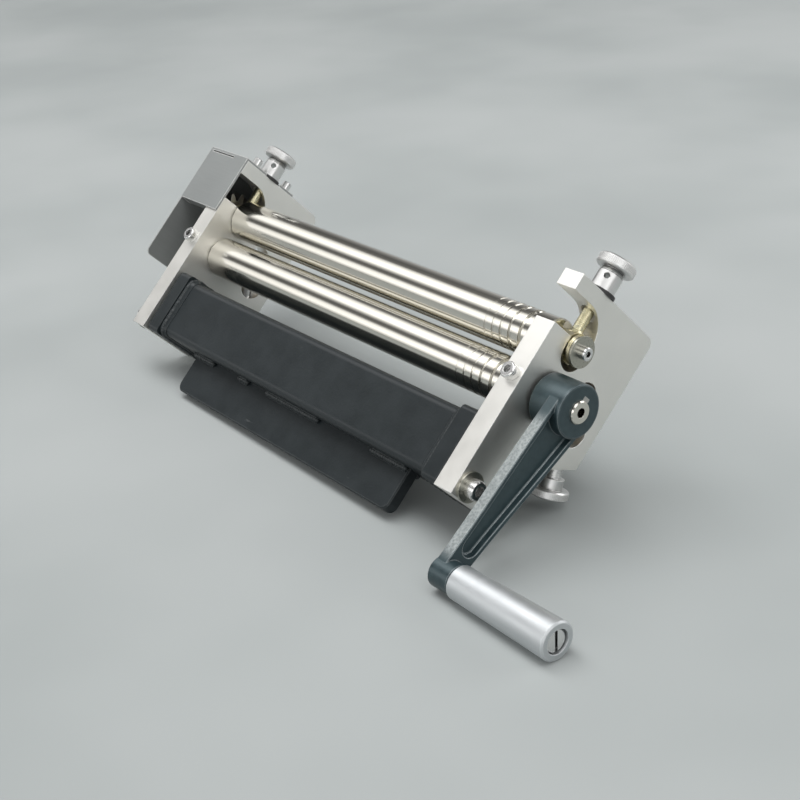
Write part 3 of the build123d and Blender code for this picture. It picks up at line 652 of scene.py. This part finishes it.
eye_thread = grow(thread, finishes["yellow_zinc"], turns=11.0, pitch=1.0 * mm, radius=2.88 * mm, crest=0.30 * mm)
stems = [
    (eye_thread, Matrix.Translation((side * plate_middle, 0.0, 102.2 * mm))) for side in (1, -1)
]
gather("eye_stem_threads", "pinch_lift", "yellow_zinc", stems)
rear_thread = grow(thread, finishes["knob_metal"], turns=10.0, pitch=1.25 * mm, radius=3.86 * mm, crest=0.32 * mm)
for side, word in ((1, "right"), (-1, "left")):
    place = frame_at(rear_axis + Vector((side * plate_middle, 0, 0)) - 37.5 * mm * slant, slant)
    gather("rear_thread_" + word, "rear_screw_" + word, "knob_metal", [(rear_thread, place)])

# %% [markdown]
# ## Weld ripples
#
# A weld is a row of small frozen pools, each lapping over the last. The path is drawn as edges along
# the joint, turned into a curve, and a ball is set every millimetre or so, each one a
# little larger or smaller by a random value with a fixed seed.

# %% Welds
weld = Growth("weld_ripples", {"Spacing": float, "Bead": float, "Seed": int})
path_curve = weld.add("GeometryNodeMeshToCurve", {}, {"Mesh": weld.given("Path")})
along_path = {"Curve": path_curve, "Length": weld.given("Spacing")}
places = weld.add("GeometryNodeCurveToPoints", {"mode": "LENGTH"}, along_path)
pool = weld.add("GeometryNodeMeshIcoSphere", {}, {"Radius": weld.given("Bead"), "Subdivisions": 2})
uneven = weld.add(
    "FunctionNodeRandomValue", {"data_type": "FLOAT"}, {2: 0.84, 3: 1.12, "Seed": weld.given("Seed")}, out=1
)
pools = weld.add("GeometryNodeInstanceOnPoints", {}, {"Points": places, "Instance": pool, "Scale": uneven})
weld.close(pools)


def joint_path(point_rows, closed=False):
    """A mesh of edges through each row of points."""
    mesh = bpy.data.meshes.new("joint_path")
    points, edges = [], []
    for row in point_rows:
        first = len(points)
        points += row
        edges += [(first + i, first + i + 1) for i in range(len(row) - 1)]
        if closed:
            edges.append((first + len(row) - 1, first))
    mesh.from_pydata(points, edges, [])
    return mesh


def beam_round(x):
    """Round the beam's section at one end, a little outside its skin."""
    out, corner, centre, half = 0.55 * mm, 4.5 * mm, 19.0 * mm, 19.0 * mm
    points = []
    for quarter, (sy, sz) in enumerate(((1, 1), (-1, 1), (-1, -1), (1, -1))):
        for step in range(6):
            angle = math.radians(quarter * 90 + step * 18)
            y = sy * (half - corner) + (corner + out) * math.cos(angle)
            z = centre + sz * (half - corner) + (corner + out) * math.sin(angle)
            points.append((x, y, z))
    return points


ends = joint_path([beam_round(131.2 * mm), beam_round(-131.2 * mm)], closed=True)
stitches = []
for x, length in ((-95.0, 20.0), (-51.0, 8.0), (0.0, 50.0), (90.0, 28.0)):
    for face in (1, -1):
        row = [((x + length * (step / 8 - 0.5)) * mm, face * 5.0 * mm, -0.9 * mm) for step in range(9)]
        stitches.append(row)
end_ripples = grow(weld, finishes["weld"], ends, spacing=1.5 * mm, bead=1.75 * mm, seed=3)
stitch_ripples = grow(weld, finishes["weld"], joint_path(stitches), spacing=1.9 * mm, bead=1.7 * mm, seed=8)
gather("weld_ripples", "frame", "weld", [(end_ripples, Matrix()), (stitch_ripples, Matrix())])

# %% [markdown]
# ## The cast crank arm
#
# The arm is an iron casting: a hub barrel that stands proud, a tapering web with a low rail along
# each side, and a boss for the grip's pin. Its wooden pattern would be made from a few blocks, and so
# is this piece: each block is a stack of matching rings, which also gives the casting its draft and
# its rounded rims, and Boolean modifiers join and cut them. It stands for the CAD's plainer arm.

# %% Blocks on the arm
def on_arm(x, along, aside):
    """A place on the arm: x out of the machine, along from the hub to the grip, and aside."""
    y = -along * math.sin(arm_tilt) + aside * math.cos(arm_tilt)
    z = lower_axis / mm - along * math.cos(arm_tilt) - aside * math.sin(arm_tilt)
    return Vector((x, y, z)) * mm


def half_width(along, inset):
    """Half the arm's width at a distance from the hub, less an inset."""
    rows = ((0.0, 13.9), (33.0, 11.75), (73.0, 8.65), (100.0, 7.3))
    for (near, wide), (far, narrow) in zip(rows, rows[1:]):
        if along <= far:
            return wide + (narrow - wide) * (along - near) / (far - near) - inset


def web_ring(x, inset, start, end):
    """The arm's outline at one height: square at its start and round at its end."""
    places = [start + (end - start) * step / 12 for step in range(13)]
    radius = half_width(end, inset)
    turns = [math.radians(15 * step) for step in range(1, 12)]
    right = [on_arm(x, a, half_width(a, inset)) for a in places]
    tip = [on_arm(x, end + radius * math.sin(t), radius * math.cos(t)) for t in turns]
    left = [on_arm(x, a, -half_width(a, inset)) for a in reversed(places)]
    return right + tip + left


def round_ring(x, along, radius, count=96):
    """A circle about a place on the arm."""
    turns = [math.tau * step / count for step in range(count)]
    return [on_arm(x, along + radius * math.cos(t), radius * math.sin(t)) for t in turns]


def block(name, rings):
    """A closed solid through matching rings of points."""
    solid = bmesh.new()
    loops = [[solid.verts.new(point) for point in ring] for ring in rings]
    for low, high in zip(loops, loops[1:]):
        for i in range(len(low)):
            j = (i + 1) % len(low)
            solid.faces.new((low[i], low[j], high[j], high[i]))
    solid.faces.new(loops[0])
    solid.faces.new(loops[-1])
    bmesh.ops.recalc_face_normals(solid, faces=solid.faces)
    mesh = bpy.data.meshes.new(name)
    solid.to_mesh(mesh)
    solid.free()
    made = bpy.data.objects.new(name, mesh)
    bpy.context.scene.collection.objects.link(made)
    return made


def carved(base, steps):
    """Join blocks to a base and cut others from it, and return the plain mesh."""
    for operation, tool in steps:
        modifier = base.modifiers.new(tool.name, "BOOLEAN")
        modifier.operation = operation
        modifier.solver = "EXACT"
        modifier.object = tool
    mesh = bpy.data.meshes.new_from_object(base.evaluated_get(bpy.context.evaluated_depsgraph_get()))
    for used in [base] + [tool for _, tool in steps]:
        bpy.data.objects.remove(used)
    return mesh


print("arm runs", [round(v, 4) for v in on_arm(0, 100, 0) - on_arm(0, 0, 0)])

# %% [markdown]
# The web's rim and the channel's lip are rounded by their upper rings, and the channel's wall leans
# outwards as a pattern has to, or it would not leave the sand.

# %% Cast the crank arm
web_rims = ((170.6, 0.5), (171.1, 0.0), (176.95, 0.0), (177.3, 0.35))
web = block("web", [web_ring(x, inset, 0.0, 100.0) for x, inset in web_rims])
channel_rims = ((173.9, 3.9), (174.2, 3.4), (177.1, 2.65), (177.4, 2.4), (178.5, 2.3))
channel = block("channel", [web_ring(x, inset, 4.0, 83.0) for x, inset in channel_rims])
hub_rims = ((159.4, 13.3), (160.1, 14.0), (179.1, 14.0), (179.7, 13.75), (180.0, 13.1))
hub = block("hub", [round_ring(x, 0.0, radius) for x, radius in hub_rims])
boss_rims = ((170.0, 7.4), (170.6, 8.0), (183.4, 8.0), (184.0, 7.4))
boss = block("boss", [round_ring(x, 100.0, radius) for x, radius in boss_rims])
shaft_bore = block("shaft_bore", [round_ring(x, 0.0, 6.02) for x in (150.0, 190.0)])
pin_bore = block("pin_bore", [round_ring(x, 100.0, 4.02) for x in (160.0, 190.0)])
key_corners = ((-2.0, 66.7), (2.0, 66.7), (2.0, 70.7), (-2.0, 70.7))
key_way = block("key_way", [[Vector((x, y, z)) * mm for y, z in key_corners] for x in (163.4, 190.0)])
cast = carved(
    web,
    [
        ("DIFFERENCE", channel),
        ("UNION", hub),
        ("UNION", boss),
        ("DIFFERENCE", shaft_bore),
        ("DIFFERENCE", pin_bore),
        ("DIFFERENCE", key_way),
    ],
)
arm = gather("cast_crank_arm", "drive", "crank_enamel", [(cast, Matrix())])
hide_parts("crank_arm")

# %% [markdown]
# The grip turns on a shouldered pin, whose screw head lies at the bottom of the grip's sunk end. A
# slot is cut straight across the head, and it stands upright in the photograph.

# %% Turn the grip's pin
pin_body = block("pin_body", [round_ring(x, 100.0, 4.0, 48) for x in (170.6, 246.3)])
head_rims = ((246.2, 5.2), (246.4, 5.7), (248.7, 5.7), (249.1, 5.4), (249.3, 4.9))
pin_head = block("pin_head", [round_ring(x, 100.0, radius) for x, radius in head_rims])
pin_centre = on_arm(0.0, 100.0, 0.0)
slot_along = Vector((0.0, 0.707, -0.707))
slot_across = Vector((0.0, 0.707, 0.707))
slot_corners = [(-7.0, -0.85), (7.0, -0.85), (7.0, 0.85), (-7.0, 0.85)]
slot_rings = [
    [Vector((x * mm, 0, 0)) + pin_centre + slot_along * a * mm + slot_across * b * mm for a, b in slot_corners]
    for x in (247.6, 250.0)
]
pin_mesh = carved(pin_head, [("UNION", pin_body), ("DIFFERENCE", block("pin_slot", slot_rings))])
pin = gather("slotted_grip_pin", "drive", slot_of["grip_pin"], [(pin_mesh, Matrix())])
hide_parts("grip_pin")
